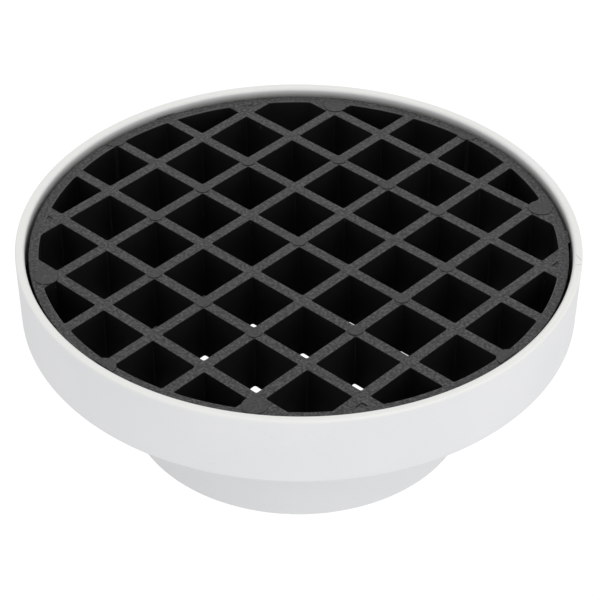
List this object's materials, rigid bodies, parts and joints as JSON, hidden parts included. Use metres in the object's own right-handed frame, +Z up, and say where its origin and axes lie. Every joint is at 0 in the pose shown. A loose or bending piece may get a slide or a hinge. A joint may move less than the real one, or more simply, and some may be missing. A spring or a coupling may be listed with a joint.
{
  "type": "floor drain collar with grate",
  "caption": "White round floor-drain collar with a stepped spigot and a loose black square-lattice grate that drops inside its rim and lifts out.",
  "frame": {"origin": "centre of the spigot's lower end, on the plane that the part stands on", "axes": "+Z up along the drain's axis, out of the grate; the grate's bars run along X and Y"},
  "size_m": [0.16, 0.16, 0.0615],
  "materials": {
    "white_pvc": "smooth moulded uPVC, low sheen",
    "black_plastic": "finely textured moulded plastic, charcoal black"
  },
  "bodies": {
    "collar": {"drain_collar": "white_pvc"},
    "grate": {"drain_grate": "black_plastic"}
  },
  "joints": [
    {"name": "grate_lift", "type": "slide", "parent": "collar", "child": "grate", "axis": [0, 0, 1], "range_m": [0, 0.03]}
  ]
}
